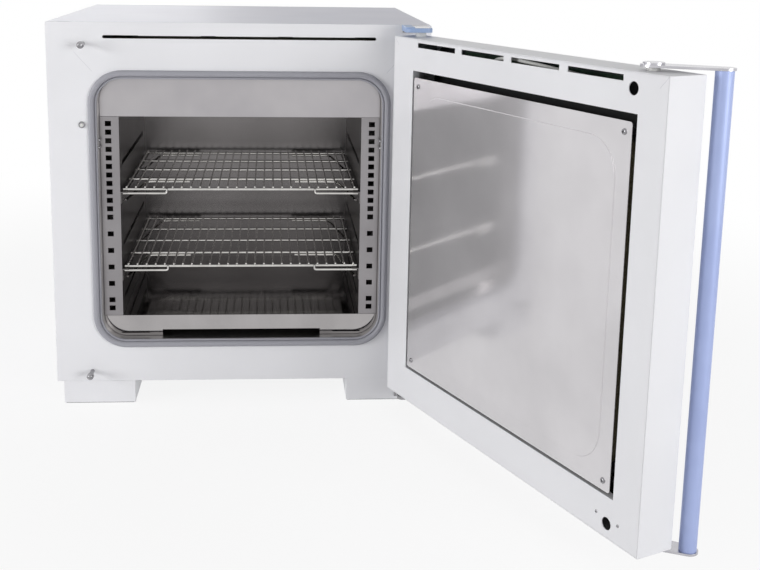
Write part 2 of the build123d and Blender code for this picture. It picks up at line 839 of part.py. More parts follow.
# Door contact: a ring and barrel in the front face, and the pin that the door presses
with BuildPart() as contact_housing:
    with BuildSketch(facing_front(front_y)):
        with Locations((contact_x, contact_z)):
            Circle(contact_ring / 2)
    extrude(amount=contact_ring_height)
    with BuildSketch(facing_front(front_y)):
        with Locations((contact_x, contact_z)):
            Rectangle(contact_barrel, contact_barrel)
    extrude(amount=-contact_tail)
    with BuildSketch(facing_front(front_y - contact_ring_height)):
        with Locations((contact_x, contact_z)):
            Circle(contact_pin / 2 + contact_pin_play)
    extrude(amount=-(contact_tail + contact_ring_height - 2), mode=Mode.SUBTRACT)

with BuildPart() as contact_plunger:
    with BuildSketch(facing_front(front_y - contact_proud)):
        with Locations((contact_x, contact_z)):
            Circle(contact_pin / 2)
    extrude(amount=-(contact_proud + contact_tail - 2 - contact_travel - 1))
    chamfer(contact_plunger.faces().sort_by(Axis.Y)[0].edges(), 0.2 * contact_pin)


# Feet: folded sheet boxes open below, each round a rubber pad
def make_foot(side, end):
    with BuildPart() as foot:
        with Locations((side * foot_x, end * foot_y, (foot_height + pad_drop) / 2)):
            Box(foot_width, foot_depth, foot_height - pad_drop)
        offset(amount=-foot_sheet, openings=foot.faces().sort_by(Axis.Z)[0])
    return foot


front_left_foot = make_foot(-1, -1)
front_right_foot = make_foot(1, -1)
rear_left_foot = make_foot(-1, 1)
rear_right_foot = make_foot(1, 1)

with BuildPart() as foot_pads:
    with Locations((0, 0, pad_height / 2)):
        with GridLocations(2 * foot_x, 2 * foot_y, 2, 2):
            Box(
                foot_width - 2 * (foot_sheet + pad_play),
                foot_depth - 2 * (foot_sheet + pad_play),
                pad_height,
            )
    with Locations((0, 0, (foot_height - foot_sheet) / 2)):
        with GridLocations(2 * foot_x, 2 * foot_y, 2, 2):
            Box(pad_stem, pad_stem, foot_height - foot_sheet)

# Hinge brackets: angle plates above and below the door, each with a pin
upper_plate_z = door_top_z + bracket_gap
lower_plate_z = door_bottom_z - bracket_gap - bracket_plate


with BuildPart() as hinge_brackets:
    for plate_z, leg_height in (
        (upper_plate_z, bracket_leg_height),
        (lower_plate_z, lower_leg_height),
    ):
        with BuildSketch(Plane.XY.offset(plate_z)):
            with Locations((hinge_x - bracket_shift, front_y - bracket_reach / 2)):
                Rectangle(bracket_width, bracket_reach)
            fillet(vertices().group_by(Axis.Y)[0], bracket_width / 5)
            with Locations((hinge_x, hinge_y)):
                Circle(hinge_pin / 2, mode=Mode.SUBTRACT)
        extrude(amount=bracket_plate)
        leg_z = plate_z + bracket_plate - leg_height / 2
        with Locations((hinge_x - bracket_shift, front_y - bracket_leg / 2, leg_z)):
            Box(bracket_width, bracket_leg, leg_height)

with BuildPart() as hinge_pins:
    with BuildSketch(Plane.XY.offset(door_top_z - hinge_pin_depth)):
        with Locations((hinge_x, hinge_y)):
            Circle(hinge_pin / 2)
    extrude(amount=hinge_pin_depth + bracket_gap + bracket_plate)
    with BuildSketch(Plane.XY.offset(lower_plate_z)):
        with Locations((hinge_x, hinge_y)):
            Circle(hinge_pin / 2)
    extrude(amount=hinge_pin_depth + bracket_gap + bracket_plate)

cap_low_z = upper_plate_z - cap_drop
cap_high_z = upper_plate_z + bracket_plate + cap_wall
cap_back_y = front_y - bracket_leg - cap_play
cap_front_y = front_y - bracket_reach - cap_wall - cap_play
cap_half = bracket_width / 2 + cap_play + cap_wall
with BuildPart() as hinge_cap:
    with BuildSketch(Plane.XY.offset(cap_low_z)):
        with Locations((hinge_x - bracket_shift, (cap_back_y + cap_front_y) / 2)):
            Rectangle(2 * cap_half, cap_back_y - cap_front_y)
        fillet(vertices().group_by(Axis.Y)[0], bracket_width / 5 + cap_wall)
    extrude(amount=cap_high_z - cap_low_z)
    with BuildSketch(Plane.XY.offset(cap_low_z)):
        with Locations((hinge_x - bracket_shift, (cap_back_y + cap_front_y + cap_wall) / 2)):
            Rectangle(2 * (cap_half - cap_wall), cap_back_y - cap_front_y - cap_wall)
        fillet(vertices().group_by(Axis.Y)[0], bracket_width / 5)
    extrude(amount=cap_high_z - cap_low_z - cap_wall, mode=Mode.SUBTRACT)

# Door shell: the outer face and four sides of one folded sheet
with BuildPart() as door_shell:
    with Locations((0, (door_inner_y + door_outer_y) / 2, door_mid_z)):
        Box(door_width, door_thick, door_height)
    offset(amount=-door_sheet, openings=door_shell.faces().sort_by(Axis.Y)[-1])
    fillet(door_shell.faces().sort_by(Axis.Y)[0].edges(), casing_bend)
    for hole_at_x, hole_at_y, hole_size in (
        (hinge_x, hinge_y, hinge_bush),
        (latch_x, latch_y, shaft_bush),
    ):
        with Locations((hole_at_x, hole_at_y, door_mid_z)):
            Cylinder(hole_size / 2, door_height + 2, mode=Mode.SUBTRACT)

# Door inner frame: the white border with the window, vents and latch holes
with BuildPart() as door_inner_frame:
    with BuildSketch(facing_back(door_inner_y)):
        with Locations((0, door_mid_z)):
            Rectangle(
                door_width - 2 * (door_sheet + cover_play), door_height - 2 * (door_sheet + cover_play)
            )
        with Locations((-window_x, window_z)):
            Rectangle(window_width, window_height, mode=Mode.SUBTRACT)
        for vent in range(vent_count):
            vent_edge_x = door_edge_x - vent_hinge_margin - vent * (vent_length + vent_bridge)
            with Locations((vent_length / 2 - vent_edge_x, door_top_z - vent_drop)):
                Rectangle(vent_length, vent_height, mode=Mode.SUBTRACT)
        for stud_z in (stud_upper_z, stud_lower_z):
            with Locations((-latch_x, stud_z)):
                Circle(latch_hole / 2, mode=Mode.SUBTRACT)
    extrude(amount=-door_sheet)
    with BuildSketch(facing_back(door_inner_y)):
        with Locations((-window_x, window_z)):
            Rectangle(window_width + 2 * door_sheet, window_height + 2 * door_sheet)
            Rectangle(window_width, window_height, mode=Mode.SUBTRACT)
    extrude(amount=-window_lip)

# Door inner panel: stainless sheet with a pressed field inside the seal
with BuildPart() as door_inner_panel:
    with BuildSketch(facing_back(door_inner_y - inner_panel_sheet)):
        with Locations((-panel_x, panel_z)):
            RectangleRounded(inner_panel_width, inner_panel_height, 4)
    extrude(amount=inner_panel_sheet)
    with BuildSketch(facing_back(door_inner_y)):
        with Locations((-panel_x, panel_z)):
            RectangleRounded(
                inner_panel_width - 2 * emboss_inset,
                inner_panel_height - 2 * emboss_inset,
                emboss_radius,
            )
    extrude(amount=emboss_height, taper=35)
    with BuildSketch(facing_back(door_inner_y - inner_panel_sheet)):
        with Locations((-panel_x, panel_z)):
            RectangleRounded(
                inner_panel_width - 2 * emboss_inset - 2,
                inner_panel_height - 2 * emboss_inset - 2,
                emboss_radius - 1,
            )
    extrude(amount=emboss_height, taper=35, mode=Mode.SUBTRACT)

# Pillars that carry the inner panel from the outer face
pillar_half_width = inner_panel_width / 2 - panel_pillar_inset
pillar_half_height = inner_panel_height / 2 - panel_pillar_inset
with BuildPart() as panel_pillars:
    with BuildSketch(facing_back(door_outer_y + door_sheet)):
        with Locations((-panel_x, panel_z)):
            with GridLocations(2 * pillar_half_width, 2 * pillar_half_height, 2, 2):
                Rectangle(door_post, door_post)
    extrude(amount=door_thick - door_sheet - inner_panel_sheet)

with BuildPart() as door_insulation:
    with BuildSketch(facing_front(door_inner_y - door_wool_setback)):
        with Locations((panel_x, panel_z)):
            RectangleRounded(
                inner_panel_width - 2 * door_wool_inset,
                inner_panel_height - 2 * door_wool_inset,
                door_wool_radius,
            )
    extrude(amount=door_wool_thick)

# Hinge blocks and bushes in the door's two hinge corners
with BuildPart() as door_hinge_blocks:
    for block_low_z in (door_top_z - door_sheet - hinge_block_height, door_bottom_z + door_sheet):
        with BuildSketch(Plane.XY.offset(block_low_z)):
            with Locations((hinge_x, hinge_y)):
                Rectangle(hinge_block_width - 2, hinge_block_depth)
                Circle(hinge_bush / 2, mode=Mode.SUBTRACT)
        extrude(amount=hinge_block_height)

with BuildPart() as door_hinge_bushes:
    sleeve = hinge_block_height + bracket_gap - collar_play
    for low_z in (door_top_z - hinge_block_height, door_bottom_z + hinge_block_height - sleeve):
        with BuildSketch(Plane.XY.offset(low_z)):
            with Locations((hinge_x, hinge_y)):
                Circle(hinge_bush / 2)
                Circle(hinge_pin / 2 + hinge_play, mode=Mode.SUBTRACT)
        extrude(amount=sleeve)

# Bushes of the latch shaft, which stand out to carry the handle arms
with BuildPart() as shaft_bushes:
    sleeve = shaft_bush_depth + arm_gap - shaft_collar_play
    for low_z in (door_top_z - shaft_bush_depth, door_bottom_z + shaft_bush_depth - sleeve):
        with BuildSketch(Plane.XY.offset(low_z)):
            with Locations((latch_x, latch_y)):
                Circle(shaft_bush / 2)
                Circle(shaft_diameter / 2 + shaft_play, mode=Mode.SUBTRACT)
        extrude(amount=sleeve)

# Control panel: membrane fascia, display window and the board behind
with BuildPart() as control_fascia:
    with BuildSketch(facing_front(door_outer_y)):
        with Locations((0, fascia_z)):
            RectangleRounded(fascia_width, fascia_height, fascia_radius)
        with Locations((display_x, fascia_z)):
            Rectangle(display_width, display_height, mode=Mode.SUBTRACT)
    extrude(amount=fascia_thick)

with BuildPart() as display_window:
    with BuildSketch(facing_front(door_outer_y)):
        with Locations((display_x, fascia_z)):
            Rectangle(display_width - 2 * cover_play, display_height - 2 * cover_play)
    extrude(amount=display_thick)

board_back_y = door_outer_y + door_sheet + door_board_pillar
with BuildPart() as control_board:
    with Locations((0, board_back_y + board_thick / 2, fascia_z)):
        Box(door_board_width, board_thick, door_board_height)
    for dx in (-1, 1):
        post_x = dx * (door_board_width / 2 - door_board_post)
        with Locations((post_x, board_back_y - door_board_pillar / 2, fascia_z)):
            Box(door_board_post, door_board_pillar, 2 * door_board_post)
    for n in range(chip_count):
        chip_x = chip_margin - door_board_width / 2 + n * chip_pitch
        with Locations((chip_x, board_back_y + board_thick + chip_depth / 2, fascia_z)):
            Box(chip_width, chip_depth, chip_height)


# Handle: a tube between two flat arms on the latch shaft
upper_arm_z = door_top_z + arm_gap
lower_arm_z = door_bottom_z - arm_gap - arm_plate


with BuildPart() as handle_arms:
    for arm_z in (upper_arm_z, lower_arm_z):
        with BuildSketch(Plane.XY.offset(arm_z)):
            with Locations((latch_x, latch_y)):
                Circle(arm_pivot_radius)
            with Locations((bar_x, bar_y)):
                Circle(arm_bar_radius)
            make_hull()
            with Locations((latch_x, latch_y)):
                Circle(shaft_diameter / 2, mode=Mode.SUBTRACT)
        extrude(amount=arm_plate)

with BuildPart() as handle_tube:
    with BuildSketch(Plane.XY.offset(lower_arm_z + arm_plate)):
        with Locations((bar_x, bar_y)):
            Circle(handle_bar / 2)
            Circle(handle_bar / 2 - handle_bar_wall, mode=Mode.SUBTRACT)
    extrude(amount=upper_arm_z - lower_arm_z - arm_plate)

with BuildPart() as latch_shaft:
    with BuildSketch(Plane.XY.offset(lower_arm_z)):
        with Locations((latch_x, latch_y)):
            Circle(shaft_diameter / 2)
    extrude(amount=upper_arm_z + arm_plate - lower_arm_z)

with BuildPart() as pivot_caps:
    for cap_z, dome in ((upper_arm_z + arm_plate, 1), (lower_arm_z, -1)):
        with BuildSketch(Plane.XY.offset(cap_z)):
            with Locations((latch_x, latch_y)):
                Circle(pivot_cap_radius)
        extrude(amount=dome * pivot_cap_height)


# Latch hooks: a curved finger that turns in behind the head of each stud
hook_tip_angle = degrees(asin((stud_shank / 2 + hook_play) / hook_inner_radius))
hook_span = hook_arm_angle - hook_tip_angle


def on_ring(radius, angle):
    return radius * cos(radians(angle)), radius * sin(radians(angle))


with BuildPart() as latch_hooks:
    for stud_z in (stud_upper_z, stud_lower_z):
        hook_origin = (latch_x, latch_y, stud_z - hook_thick / 2)
        with BuildSketch(Plane(origin=hook_origin, x_dir=(0, 1, 0), z_dir=(0, 0, 1))):
            Circle(hook_hub / 2)
            with PolarLocations(0, 1, start_angle=hook_arm_angle):
                with Locations((hook_outer_radius / 2 - hook_setback, 0)):
                    Rectangle(hook_outer_radius - hook_setback, hook_arm_width)
            with BuildLine():
                CenterArc((0, 0), hook_outer_radius, hook_tip_angle, hook_span)
                CenterArc((0, 0), hook_inner_radius, hook_tip_angle, hook_span)
                for angle in (hook_tip_angle, hook_arm_angle):
                    Line(on_ring(hook_inner_radius, angle), on_ring(hook_outer_radius, angle))
            make_face()
            Circle(shaft_diameter / 2, mode=Mode.SUBTRACT)
        extrude(amount=hook_thick)

# Pieces of the cabinet and its shelves stay where they were drawn
still_pieces = {
    "outer_casing": outer_casing,
    "front_frame": front_frame,
    "base_plate": base_plate,
    "rear_cover": rear_cover,
    "chamber_liner": chamber_liner,
    "door_seal": door_seal,
    "left_side_duct": left_side_duct,
    "right_side_duct": right_side_duct,
    "chamber_floor": chamber_floor,
    "chamber_ceiling": chamber_ceiling,
    "rear_baffle": rear_baffle,
    "left_shelf_rails": left_shelf_rails,
    "right_shelf_rails": right_shelf_rails,
    "upper_shelf": upper_shelf,
    "lower_shelf": lower_shelf,
    "bottom_heater": bottom_heater,
    "temperature_probe": temperature_probe,
    "insulation": insulation,
    "exhaust_stub": exhaust_stub,
    "flap_disc": flap_disc,
    "flap_spindle": flap_spindle,
    "flap_knob": flap_knob,
    "mains_inlet": mains_inlet,
    "power_board": power_board,
    "latch_studs": latch_studs,
    "contact_housing": contact_housing,
    "contact_plunger": contact_plunger,
    "front_left_foot": front_left_foot,
    "front_right_foot": front_right_foot,
    "rear_left_foot": rear_left_foot,
    "rear_right_foot": rear_right_foot,
    "foot_pads": foot_pads,
    "hinge_brackets": hinge_brackets,
    "hinge_pins": hinge_pins,
    "hinge_cap": hinge_cap,
}

# Pieces of the door and handle swing open with the door
swung_pieces = {
    "door_shell": door_shell,
    "door_inner_frame": door_inner_frame,
    "door_inner_panel": door_inner_panel,
    "panel_pillars": panel_pillars,
    "door_insulation": door_insulation,
    "door_hinge_blocks": door_hinge_blocks,
    "door_hinge_bushes": door_hinge_bushes,
    "shaft_bushes": shaft_bushes,
    "control_fascia": control_fascia,
    "display_window": display_window,
    "control_board": control_board,
    "handle_arms": handle_arms,
    "handle_tube": handle_tube,
    "latch_shaft": latch_shaft,
    "pivot_caps": pivot_caps,
    "latch_hooks": latch_hooks,
}

hinge_line = Axis((hinge_x, hinge_y, 0), (0, 0, 1))
for name, piece in swung_pieces.items():
    piece.part = piece.part.rotate(hinge_line, door_open_angle)

for name, piece in {**still_pieces, **swung_pieces}.items():
    piece.part.label = name
    export_step(piece.part, f"parts/{name}.step")
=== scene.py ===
import json
import math

import bmesh
import bpy
from mathutils import Matrix, Vector


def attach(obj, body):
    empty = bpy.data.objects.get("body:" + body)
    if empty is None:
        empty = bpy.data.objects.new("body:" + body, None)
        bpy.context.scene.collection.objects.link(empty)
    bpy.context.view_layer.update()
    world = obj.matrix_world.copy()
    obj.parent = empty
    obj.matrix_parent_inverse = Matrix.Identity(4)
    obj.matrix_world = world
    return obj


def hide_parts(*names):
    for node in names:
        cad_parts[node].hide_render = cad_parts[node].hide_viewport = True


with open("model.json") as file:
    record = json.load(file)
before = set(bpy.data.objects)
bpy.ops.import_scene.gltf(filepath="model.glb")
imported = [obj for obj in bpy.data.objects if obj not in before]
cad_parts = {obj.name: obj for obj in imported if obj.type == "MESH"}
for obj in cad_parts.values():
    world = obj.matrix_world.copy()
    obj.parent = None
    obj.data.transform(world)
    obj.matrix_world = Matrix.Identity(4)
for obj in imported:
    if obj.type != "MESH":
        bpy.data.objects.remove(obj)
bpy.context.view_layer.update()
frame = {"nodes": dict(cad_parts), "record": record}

nodes = frame["nodes"]
mm = 0.001
print("frame loaded:", len(nodes), "nodes")

# planes of the CAD that pieces sit on, in mm: door planes are those of the closed door
frontFaceY = -270.0
doorInnerY = -277.5
doorFasciaY = -336.0
rearCoverY = 270.0
rearFlangeY = 272.0
# depth behind which the chamber's steel gets a darker colour as painted shade
shadeStartY = -249.0

# camera, worked out from the cabinet's and the door's straight edges, on an image of 760 x 570 pixels

cameraSettings = {
    "place": (48.8, -2124.2, 766.5),  # mm
    "yaw": 3.812, "pitch": 11.162, "roll": -0.828,  # degrees
    "focalPixels": 1141.5,
    "centrePixel": (345.0, 173.0),
    "imageSize": (760, 570),
    "sensorWidth": 36.0,
}


def makeCamera(s):
    yaw, pitch, roll = (math.radians(s[k]) for k in ("yaw", "pitch", "roll"))
    forward = Vector((math.sin(yaw) * math.cos(pitch), math.cos(yaw) * math.cos(pitch), -math.sin(pitch)))
    right = Vector((math.cos(yaw), -math.sin(yaw), 0))
    down = forward.cross(right)
    turnedRight = math.cos(roll) * right + math.sin(roll) * down
    turnedDown = math.cos(roll) * down - math.sin(roll) * right
    data = bpy.data.cameras.new("photoCamera")
    camera = bpy.data.objects.new("photoCamera", data)
    bpy.context.scene.collection.objects.link(camera)
    turn = Matrix((turnedRight, -turnedDown, -forward)).transposed()
    camera.matrix_world = Matrix.Translation(Vector(s["place"]) * mm) @ turn.to_4x4()
    width, height = s["imageSize"]
    data.sensor_width = s["sensorWidth"]
    data.lens = s["focalPixels"] / width * s["sensorWidth"]
    data.shift_x = (width / 2 - s["centrePixel"][0]) / width
    data.shift_y = (s["centrePixel"][1] - height / 2) / width
    data.clip_start, data.clip_end = 0.05, 60
    bpy.context.scene.camera = camera


makeCamera(cameraSettings)
print("camera made")

# materials


def toLinear(hexColour):
    channels = [int(hexColour[i:i + 2], 16) / 255 for i in (1, 3, 5)]
    return tuple(c / 12.92 if c <= 0.04045 else ((c + 0.055) / 1.055) ** 2.4 for c in channels) + (1.0,)


def addNode(material, kind, settings=None, links=None):
    # settings go to sockets or to the node itself; links are {socket: (node, output)}
    node = material.node_tree.nodes.new(kind)
    for name, value in (settings or {}).items():
        if isinstance(name, int) or name in node.inputs:
            node.inputs[name].default_value = value
        else:
            setattr(node, name, value)
    for name, (source, output) in (links or {}).items():
        material.node_tree.links.new(source.outputs[output], node.inputs[name])
    return node


def newMaterial(name):
    material = bpy.data.materials.new(name)
    material.use_nodes = True
    material.node_tree.nodes.clear()
    return material


def finishMaterial(material, settings, links):
    shader = addNode(material, "ShaderNodeBsdfPrincipled", settings, links)
    addNode(material, "ShaderNodeOutputMaterial", None, {"Surface": (shader, "BSDF")})
    return material


def objectPlaces(material, stretch=(1, 1, 1)):
    places = addNode(material, "ShaderNodeTexCoord")
    return addNode(material, "ShaderNodeMapping", {"Scale": stretch}, {"Vector": (places, "Object")})


def tintedColour(material, pattern, dark, light, low=0.35, high=0.65):
    ramp = addNode(material, "ShaderNodeValToRGB", None, {"Fac": (pattern, "Fac")})
    ramp.color_ramp.elements[0].position = low
    ramp.color_ramp.elements[1].position = high
    ramp.color_ramp.elements[0].color = toLinear(dark)
    ramp.color_ramp.elements[1].color = toLinear(light)
    return ramp


def softEdges(material, radiusMm):
    return addNode(material, "ShaderNodeBevel", {"samples": 4, "Radius": radiusMm * mm})


# octaves of the noise patterns, and how deep a full bump goes
paintDetail = 2.0
steelDetail = 3.0
plasticDetail = 3.0
peelDeepMm = 0.2
lineDeepMm = 0.05
grainDeepMm = 0.2
plasticEdgeMm = 0.4


def noise(material, places, sizeMm, detail):
    settings = {"Scale": 1 / (sizeMm * mm), "Detail": detail}
    return addNode(material, "ShaderNodeTexNoise", settings, {"Vector": (places, "Vector")})


def bumps(material, height, edges, strength, deepMm):
    settings = {"Strength": strength, "Distance": deepMm * mm}
    links = {"Height": (height, "Fac"), "Normal": (edges, "Normal")}
    return addNode(material, "ShaderNodeBump", settings, links)


def roughnessRange(material, pattern, middle, spread):
    settings = {"To Min": middle - spread, "To Max": middle + spread}
    return addNode(material, "ShaderNodeMapRange", settings, {"Value": (pattern, "Fac")})


def surfaceLinks(colour, bump, rough=None):
    links = {"Base Color": (colour, "Color"), "Normal": (bump, "Normal")}
    if rough:
        links["Roughness"] = (rough, "Result")
    return links


def powderCoat(name, dark, light, s):
    # baked powder paint: even colour, soft gloss, a fine orange peel and rounded edges
    m = newMaterial(name)
    places = objectPlaces(m)
    cloud = noise(m, places, s["cloudMm"], paintDetail)
    colour = tintedColour(m, cloud, dark, light)
    peel = noise(m, places, s["peelMm"], paintDetail)
    edges = softEdges(m, s["edgeMm"])
    bump = bumps(m, peel, edges, s["peelDepth"], peelDeepMm)
    rough = roughnessRange(m, peel, s["roughness"], s["spread"])
    settings = {"IOR": 1.5, "Metallic": s.get("metallic", 0.0)}
    return finishMaterial(m, settings, surfaceLinks(colour, bump, rough))


def rolledSteel(name, dark, light, s):
    # metal with rolling or drawing lines; deepY paints shade: a darker colour behind that depth, inside the
    # chamber
    m = newMaterial(name)
    places = objectPlaces(m, s["stretch"])
    lines = noise(m, places, s["lineMm"], steelDetail)
    wide = objectPlaces(m)
    cloud = noise(m, wide, s["cloudMm"], steelDetail)
    colour = tintedColour(m, cloud, dark, light)
    if "deepY" in s:
        # painted shade: darker colours mixed in behind deepY
        paintedShade = tintedColour(m, cloud, s["deepDark"], s["deepLight"])
        split = addNode(m, "ShaderNodeSeparateXYZ", None, {"Vector": (wide, "Vector")})
        reach = {"From Min": s["deepY"] * mm, "From Max": (s["deepY"] + s["fadeMm"]) * mm}
        depth = addNode(m, "ShaderNodeMapRange", reach, {"Value": (split, "Y")})
        colour = addNode(m, "ShaderNodeMixRGB", None, {
            "Fac": (depth, "Result"), "Color1": (colour, "Color"), "Color2": (paintedShade, "Color")})
    rough = roughnessRange(m, lines, s["roughness"], s["spread"])
    edges = softEdges(m, s["edgeMm"])
    bump = bumps(m, lines, edges, s["lineDepth"], lineDeepMm)
    settings = {"Metallic": 1.0}
    links = surfaceLinks(colour, bump, rough)
    if "haze" not in s:
        return finishMaterial(m, settings, links)
    tangent = addNode(m, "ShaderNodeTangent", {"direction_type": "RADIAL", "axis": "Z"})
    dragged = {**settings, "Anisotropic": s["drag"], "Anisotropic Rotation": 0.25}
    clear = addNode(m, "ShaderNodeBsdfPrincipled", dragged, {**links, "Tangent": (tangent, "Tangent")})
    veil = addNode(m, "ShaderNodeBsdfPrincipled", {**settings, "Roughness": s["hazeRoughness"]}, {
        "Base Color": (colour, "Color"), "Normal": (edges, "Normal")})
    both = addNode(m, "ShaderNodeMixShader", {0: s["haze"]}, {1: (clear, "BSDF"), 2: (veil, "BSDF")})
    addNode(m, "ShaderNodeOutputMaterial", None, {"Surface": (both, "Shader")})
    return m


def mouldedPlastic(name, dark, light, s):
    # moulded, cast or woven part: even colour with a fine grain
    m = newMaterial(name)
    places = objectPlaces(m)
    grain = noise(m, places, s["grainMm"], plasticDetail)
    colour = tintedColour(m, grain, dark, light)
    edges = softEdges(m, plasticEdgeMm)
    bump = bumps(m, grain, edges, s["grainDepth"], grainDeepMm)
    settings = {"Roughness": s["roughness"], "IOR": s.get("ior", 1.5)}
    return finishMaterial(m, settings, surfaceLinks(colour, bump))


def steelSettings(**changes):
    usual = {
        "stretch": (1, 1, 1), "lineMm": 1.2, "cloudMm": 90, "roughness": 0.3, "spread": 0.05,
        "lineDepth": 0.1, "edgeMm": 0.3,
    }
    return {**usual, **changes}


paintSettings = {
    "cloudMm": 180, "peelMm": 1.4, "peelDepth": 0.10, "roughness": 0.42, "spread": 0.04, "edgeMm": 0.9,
}
# powder-coated sheet of the front and the door, nearly white: even tone, soft edges
whitePowderCoat = powderCoat("whitePowderCoat", "#ececef", "#f0f0f3", paintSettings)
# powder-coated wrap of the casing: the front's white paint darkened to a lavender grey, painted shade for its
# less lit top and sides
shadedPowderCoat = powderCoat("shadedPowderCoat", "#cfcfdb", "#d4d4df", paintSettings)
# paint over a spot-welded joint: a hair darker, so the mitre shows as a faint line
seamPaint = powderCoat("seamPaint", "#cfcfd4", "#d4d4d9", paintSettings)
# hot-dip galvanised sheet: dull grey with faint clouds
galvanisedSheet = rolledSteel("galvanisedSheet", "#8e9294", "#aeb2b4", steelSettings(
    lineMm=6, cloudMm=18, roughness=0.5))
# cold-rolled stainless liner with a matt finish: soft reflections
linerSteel = rolledSteel("linerSteel", "#a19f9f", "#aeacab", steelSettings(
    stretch=(0.04, 1, 1), roughness=0.3))
# stainless apron over the chamber: satin, with painted shade making it darker behind its front edge
apronSteel = rolledSteel("apronSteel", "#aaa7aa", "#b3b0b2", steelSettings(
    stretch=(0.04, 1, 1), roughness=0.32, deepY=shadeStartY, fadeMm=6, deepDark="#6f6c6b", deepLight="#7c7978"))
# polished stainless floor: mirrors the lower shelf, with painted shade making it darker behind its front edge
floorSteel = rolledSteel("floorSteel", "#a5a2a2", "#b0adad", steelSettings(
    stretch=(0.04, 1, 1), roughness=0.07, spread=0.01, lineDepth=0.01,
    deepY=shadeStartY, fadeMm=6, deepDark="#827f7e", deepLight="#8d8a89"))
# perforated stainless side sheets with upright rolling lines: mid grey, with painted shade making them darker
# inside
ductSteel = rolledSteel("ductSteel", "#8d8a8c", "#979496", steelSettings(
    stretch=(1, 1, 0.04), roughness=0.3, deepY=shadeStartY, fadeMm=6, deepDark="#666364", deepLight="#726f70"))
# stainless of the back wall and rails: dark grey as painted shade of the deep chamber, with soft reflections
shadedChamberSteel = rolledSteel("shadedChamberSteel", "#737070", "#7c7979", steelSettings(
    stretch=(0.04, 1, 1), roughness=0.25, spread=0.01, lineDepth=0.0, cloudMm=120))
# brighter stainless sheet of the door's inner panel: a mirror dragged out up and down by the rolling lines
panelSteel = rolledSteel("panelSteel", "#cbc9cb", "#d3d1d3", steelSettings(
    stretch=(1, 1, 0.05), lineMm=1.0, cloudMm=120, roughness=0.1, spread=0.02, lineDepth=0.01,
    drag=0.3, haze=0.52, hazeRoughness=0.75))
# drawn and electropolished wire: bright, with sharp highlights
brightWire = rolledSteel("brightWire", "#c2c0bd", "#d0cecb", steelSettings(
    lineMm=2.0, cloudMm=20, roughness=0.14, lineDepth=0.05))
# turned steel of pins, studs and screws
turnedSteel = rolledSteel("turnedSteel", "#8b8a8d", "#a09fa2", steelSettings(
    stretch=(1, 0.1, 1), lineMm=0.6, cloudMm=10, roughness=0.16))
# ground stainless plate of the handle arms and their caps: bright, with soft highlights
armSteel = rolledSteel("armSteel", "#b9b8bd", "#c6c5ca", steelSettings(
    lineMm=0.8, cloudMm=30, roughness=0.22))
# heater sheath: oxidised stainless tube, brownish grey
heaterSheath = rolledSteel("heaterSheath", "#4f4a43", "#625d55", steelSettings(
    lineMm=3.0, cloudMm=25, roughness=0.45))
# extruded silicone seal: dull grey, slightly rubbery
greySilicone = mouldedPlastic("greySilicone", "#a0a0a8", "#a4a4ab", {
    "grainMm": 1.2, "grainDepth": 0.03, "roughness": 0.5, "ior": 1.41})
# lacquered aluminium tube of the handle: light blue with a metallic sheen
blueLacquer = powderCoat("blueLacquer", "#a4b2de", "#abb9e3", {
    "cloudMm": 60, "peelMm": 0.8, "peelDepth": 0.03, "roughness": 0.45, "spread": 0.04, "edgeMm": 0.3,
    "metallic": 0.2})
# moulded caps in the same blue
blueCap = mouldedPlastic("blueCap", "#8fa6cc", "#98aed3", {
    "grainMm": 0.8, "grainDepth": 0.08, "roughness": 0.42})
# moulded black plastic: soft sheen, fine grain
blackPlastic = mouldedPlastic("blackPlastic", "#1c1c1e", "#242426", {
    "grainMm": 0.7, "grainDepth": 0.15, "roughness": 0.55})
# moulded white plastic: smooth, slightly warm
whitePlastic = mouldedPlastic("whitePlastic", "#d9d9d6", "#e2e2df", {
    "grainMm": 0.7, "grainDepth": 0.1, "roughness": 0.4})
# moulded rubber of the foot pads: dull black
blackRubber = mouldedPlastic("blackRubber", "#18181a", "#222224", {
    "grainMm": 1.0, "grainDepth": 0.2, "roughness": 0.8})
# near-black sheet: painted shade in the gap round the panel
gapShadeSheet = mouldedPlastic("gapShadeSheet", "#131315", "#1d1d20", {
    "grainMm": 4.0, "grainDepth": 0.3, "roughness": 0.5})
# pressed mineral wool: coarse, brownish yellow
mineralWool = mouldedPlastic("mineralWool", "#7a735a", "#a39b7c", {
    "grainMm": 2.0, "grainDepth": 0.8, "roughness": 0.95})
# lacquered circuit board: dark green
circuitBoard = mouldedPlastic("circuitBoard", "#17301f", "#1f3d29", {
    "grainMm": 3.0, "grainDepth": 0.1, "roughness": 0.4})
# printed front film of the control panel: pale blue grey
fasciaFilm = mouldedPlastic("fasciaFilm", "#c3cbd9", "#cad2e0", {
    "grainMm": 0.6, "grainDepth": 0.06, "roughness": 0.35})
# raised keys of the same film: deeper blue
keyFilm = mouldedPlastic("keyFilm", "#7f93bd", "#879bc4", {
    "grainMm": 0.6, "grainDepth": 0.06, "roughness": 0.35})
# tinted acrylic over the display: black and glossy
displayGlass = mouldedPlastic("displayGlass", "#0c1014", "#12171c", {
    "grainMm": 20, "grainDepth": 0.0, "roughness": 0.08})
print("materials made")

